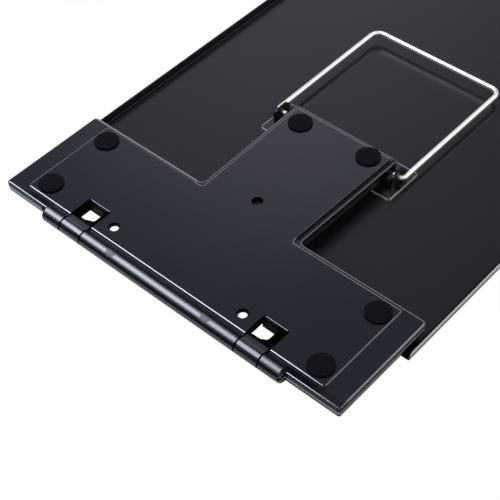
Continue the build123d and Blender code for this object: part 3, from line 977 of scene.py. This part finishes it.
@dataclass
class FootAssembly:
    """The foot plate with its hinge rod, rack and screw, and its six rubber discs, in millimetres."""

    foot_names: tuple[str, ...] = ("low_left", "low_right", "bar_left", "bar_right", "tip_left", "tip_right")
    foot_edge: float = 0.35
    edge_steps: int = 5

    def build(self, tree: Tree, palette: Palette) -> None:
        """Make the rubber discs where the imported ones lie.

        Args:
            tree: Tree that turns a profile.
            palette: Built materials.
        """
        nodes = [f"rubber_foot_{name}" for name in self.foot_names]
        boxes = [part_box(node) for node in nodes]
        low, high = boxes[0]
        radius, height = (high.x - low.x) / 2 / MM, (high.z - low.z) / MM
        centre = (radius - self.foot_edge, height - self.foot_edge)
        edge = arc(centre, self.foot_edge, 90, 0, self.edge_steps)
        profile = [(0.0, height), *edge, (radius, 0.0), (0.0, 0.0)]
        places = [((a.x + b.x) / 2, (a.y + b.y) / 2, a.z) for a, b in boxes]
        feet = TurnedPieces("rubber_feet", Body.FOOT, Slot.RUBBER, Look.RUBBER, nodes)
        feet.build(profile, places, tree, palette)

    def dress(self, palette: Palette) -> None:
        """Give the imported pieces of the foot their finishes.

        Args:
            palette: Built materials.
        """
        palette.paint("foot_plate", Look.PLASTIC)
        palette.paint("angle_rack", Look.LEDGE)
        for node in ("hinge_rod", "rack_screw"):
            palette.paint(node, Look.STAMPING)


@dataclass
class BoardAssembly:
    """The page board with its ledge, its bail bracket and the rivets that hold both, in millimetres."""

    rivet_shank: float = 3.2
    rivet_head: float = 6.4
    rivet_head_height: float = 1.3
    rivet_sink: float = 5.6
    rivet_sink_depth: float = 0.8
    rivet_counts: dict[str, int] = field(default_factory=lambda: {"bracket_rivets": 3, "ledge_rivets": 4})
    dome_steps: int = 8

    def rivet_profile(self, length: float) -> Profile:
        """Return half a rivet's outline: low dome, shank and countersunk foot.

        Args:
            length: Rivet's whole length.

        Returns:
            Radius and height of each point, from the dome's middle to the foot's.
        """
        head, rise = self.rivet_head / 2, self.rivet_head_height
        crown = (head ** 2 + rise ** 2) / (2 * rise)
        sweep = math.degrees(math.asin(head / crown))
        dome = arc((0.0, length - crown), crown, 90, 90 - sweep, self.dome_steps)
        shank = self.rivet_shank / 2
        foot = [(shank, self.rivet_sink_depth), (self.rivet_sink / 2, 0.0), (0.0, 0.0)]
        return [*dome, (shank, length - rise), *foot]

    def build(self, tree: Tree, palette: Palette) -> None:
        """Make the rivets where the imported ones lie.

        Args:
            tree: Tree that turns a profile.
            palette: Built materials.
        """
        for node, count in self.rivet_counts.items():
            low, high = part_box(node)
            half = self.rivet_head / 2 * MM
            places = [(x, (low.y + high.y) / 2, low.z) for x in spread(low.x + half, high.x - half, count)]
            profile = self.rivet_profile((high.z - low.z) / MM)
            pieces = TurnedPieces(f"{node}_set", Body.BOARD, Slot.STEEL, Look.STEEL, [node])
            pieces.build(profile, places, tree, palette)

    def dress(self, palette: Palette) -> None:
        """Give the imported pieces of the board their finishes.

        Args:
            palette: Built materials.
        """
        palette.paint("page_board", Look.SHEET)
        palette.paint("paper_ledge", Look.LEDGE)
        palette.paint("bail_bracket", Look.BRACKET)


@dataclass
class BailAssembly:
    """The bent wire that props the board up, in millimetres."""

    end_reach: float = 39.7
    pivot_bend: float = 2.6
    top_bend: float = 6.0
    end_chamfer: float = 0.3
    end_girth_share: float = 0.8
    sides: int = 32
    bend_steps: int = 14

    def build(self, palette: Palette) -> None:
        """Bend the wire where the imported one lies.

        Args:
            palette: Built materials.
        """
        low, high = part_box("bail_wire")
        radius = (high.z - low.z) / 2
        reach, pivot, top, level = high.x - radius, low.y + radius, high.y - radius, low.z + radius
        end, cut = self.end_reach * MM, self.end_chamfer * MM
        half = [(end, pivot), (end + cut, pivot), (reach, pivot), (reach, top)]
        route = half + [(-x, y) for x, y in reversed(half)]
        bends = [0.0, 0.0, self.pivot_bend * MM, self.top_bend * MM]
        girths = [self.end_girth_share, 1.0, 1.0, 1.0]
        points = [(x, y, level) for x, y in route]
        edges = [(number, number + 1) for number in range(len(points) - 1)]
        tags = {"bend": bends + bends[::-1], "girth": girths + girths[::-1]}
        sizes = {"Wire Radius": radius, "Sides": self.sides, "Bend Steps": self.bend_steps,
                 "Material": palette.materials[Look.WIRE]}
        wire = NodesPiece("bent_wire_bail", Body.BAIL, Slot.WIRE, Look.WIRE, ["bail_wire"])
        wire.bake(points, edges, tags, bent_wire_tree(), sizes)


@dataclass(frozen=True)
class Softbox:
    """A soft rectangular lamp. Its place and sizes are in metres, its radiance in units of a white floor."""

    name: str
    place: Point
    aim: Point
    width: float
    depth: float
    radiance: float
    tint: str

    def build(self) -> None:
        """Hang the lamp."""
        lamp = bpy.data.lights.new(self.name, "AREA")
        lamp.shape = "RECTANGLE"
        lamp.size, lamp.size_y = self.width, self.depth
        lamp.energy = self.radiance * math.pi * self.width * self.depth
        lamp.color = linear(self.tint)[:3]
        stand = bpy.data.objects.new(self.name, lamp)
        stand.location = self.place
        stand.rotation_mode = "QUATERNION"
        stand.rotation_quaternion = (Vector(self.aim) - Vector(self.place)).to_track_quat("-Z", "Y")
        bpy.context.scene.collection.objects.link(stand)


@dataclass
class Studio:
    """A pale floor, a dim room with a broad patch of light on its back wall, and two softboxes.

    Sizes are in metres. Off the card under the object, the floor is a dark table to all but the camera. The
    room's spans are parts of a direction, from -1 to 1, and its levels are in units of a white floor.
    """

    floor_half: float = 30.0
    floor_colour: str = "#f4f4f4"
    floor_glow_share: float = 0.98
    floor_mirror_share: float = 0.05
    card_half: Point = (0.12, 0.18, 1.0)
    card_fade: Span = (0.05, 0.16)
    table_colour: str = "#2a2a2a"
    mirror_colour: str = "#bcbab8"
    room_tint: str = "#f0f1ff"
    patch_axis: Point = (-0.5266, 0.6154, 0.5865)
    patch_span: Span = (0.96, 1.04)
    patch_levels: Span = (0.27, 1.75)
    low_span: Span = (0.24, 0.6)
    low_share: float = 0.08
    back_span: Span = (0.56, 0.4)
    back_level: float = 0.9
    front_span: Span = (-0.1, 0.3)
    right_span: Span = (-0.1, 0.35)
    right_level: float = 0.8
    boxes: tuple[Softbox, ...] = (
        Softbox("key_softbox", (-0.9, -0.45, 1.2), (-0.9, -0.45, 0.0), 1.0, 1.1, 16.0, "#e6f0ff"),
        Softbox("rim_softbox", (0.8, 0.8, 1.1), (0.0, 0.0, 0.0), 1.3, 0.9, 3.2, "#f2f5ff"),
    )

    def build(self) -> None:
        """Set up the floor, the room's light and the lamps."""
        bpy.context.scene.view_settings.view_transform = "Standard"
        self.lay_floor()
        self.light_room()
        for box in self.boxes:
            box.build()

    def floor_material(self) -> bpy.types.Material:
        """Make the floor white by its own glow, with a small painted share that takes the shadow.

        Returns:
            The floor's material.
        """
        material = bpy.data.materials.new("white_studio_floor")
        material.use_nodes = True
        tree = material.node_tree
        tree.nodes.clear()
        ray = add_node(tree, "ShaderNodeLightPath").outputs
        seen = add_node(tree, Step.HIGHER, ray["Is Camera Ray"], ray["Is Transmission Ray"])
        place = add_node(tree, "ShaderNodeTexCoord").outputs["Object"]
        past = add_node(tree, Step.SUBTRACT, add_node(tree, Step.ABSOLUTE, place), self.card_half)
        off_card = add_node(tree, Step.RANGE, outside(tree, past), *self.card_fade, *FULL)
        glow_share = add_node(tree, Step.RANGE, off_card, *FULL, self.floor_glow_share, 1.0)
        share = add_node(tree, Step.RANGE, seen, *FULL, 0.0, glow_share)
        glossy = ray["Is Glossy Ray"]
        card = add_node(tree, Step.BLEND, glossy, linear(self.floor_colour), linear(self.mirror_colour))
        colour = add_node(tree, Step.BLEND, off_card, card, linear(self.table_colour))
        mirrored = add_node(tree, Step.RANGE, glossy, *FULL, 0.0, self.floor_mirror_share)
        shown = add_node(tree, Step.HIGHER, share, mirrored)
        paint = add_node(tree, "ShaderNodeBsdfDiffuse", named={"Color": colour})
        glow = add_node(tree, "ShaderNodeEmission", named={"Strength": 1.0})
        mixed = add_node(tree, "ShaderNodeMixShader", shown, paint, glow)
        add_node(tree, "ShaderNodeOutputMaterial", named={"Surface": mixed})
        return material

    def lay_floor(self) -> None:
        """Lay the floor under the object."""
        half = self.floor_half
        corners = [(-half, -half, 0), (half, -half, 0), (half, half, 0), (-half, half, 0)]
        mesh = bpy.data.meshes.new("floor")
        mesh.from_pydata(corners, [], [(0, 1, 2, 3)])
        mesh.materials.append(self.floor_material())
        floor = bpy.data.objects.new("floor", mesh)
        bpy.context.scene.collection.objects.link(floor)

    def light_room(self) -> None:
        """Light the room by direction: a patch behind, dark low in front, bright low behind and at right."""
        world = bpy.data.worlds.new("studio_room")
        bpy.context.scene.world = world
        world.use_nodes = True
        tree = world.node_tree
        tree.nodes.clear()
        way = add_node(tree, "ShaderNodeTexCoord").outputs["Generated"]
        part = add_node(tree, Step.SPLIT, way).outputs
        near = add_node(tree, Step.DOT, way, self.patch_axis)
        left = add_node(tree, Step.RANGE, near, *self.patch_span, *self.patch_levels)
        height = add_node(tree, Step.RANGE, part["Z"], *self.low_span, self.low_share, 1.0)
        front = add_node(tree, Step.TIMES, left, height)
        back = add_node(tree, Step.RANGE, part["Z"], *self.back_span, left, self.back_level)
        facing = add_node(tree, Step.RANGE, part["Y"], *self.front_span, front, back)
        level = add_node(tree, Step.RANGE, part["X"], *self.right_span, facing, self.right_level)
        light = add_node(tree, "ShaderNodeBackground", named={
            "Color": linear(self.room_tint), "Strength": level})
        add_node(tree, "ShaderNodeOutputWorld", named={"Surface": light})


@dataclass(frozen=True)
class PhotoCamera:
    """The photograph's camera: angles in degrees, place and lens in millimetres, clip in metres."""

    azimuth: float = 44.381
    elevation: float = 47.980
    roll: float = -3.4007
    place: Point = (328.45, -442.83, 516.99)
    lens: float = 90.2009
    sensor: float = 36.0
    clip: Span = (0.01, 100.0)

    def build(self) -> None:
        """Set up the camera and make it the scene's own."""
        data = bpy.data.cameras.new("photo_camera")
        data.lens, data.sensor_width, data.sensor_fit = self.lens, self.sensor, "HORIZONTAL"
        data.clip_start, data.clip_end = self.clip
        camera = bpy.data.objects.new("photo_camera", data)
        turn, lift = math.radians(self.azimuth), math.radians(self.elevation)
        back = Vector((math.sin(turn) * math.cos(lift), -math.cos(turn) * math.cos(lift), math.sin(lift)))
        camera.location = Vector(self.place) * MM
        camera.rotation_mode = "QUATERNION"
        tilt = Quaternion((0.0, 0.0, 1.0), math.radians(self.roll))
        camera.rotation_quaternion = (-back).to_track_quat("-Z", "Y") @ tilt
        bpy.context.scene.collection.objects.link(camera)
        bpy.context.scene.camera = camera


def main() -> None:
    """Build the studio, the camera and each assembly."""
    logging.basicConfig(level=logging.INFO, format="%(name)s: %(message)s")
    Studio().build()
    PhotoCamera().build()
    palette = Palette()
    turned = turned_pieces_tree()
    board, foot, bail = BoardAssembly(), FootAssembly(), BailAssembly()
    board.build(turned, palette)
    board.dress(palette)
    foot.build(turned, palette)
    foot.dress(palette)
    bail.build(palette)


if __name__ == "__main__":
    main()
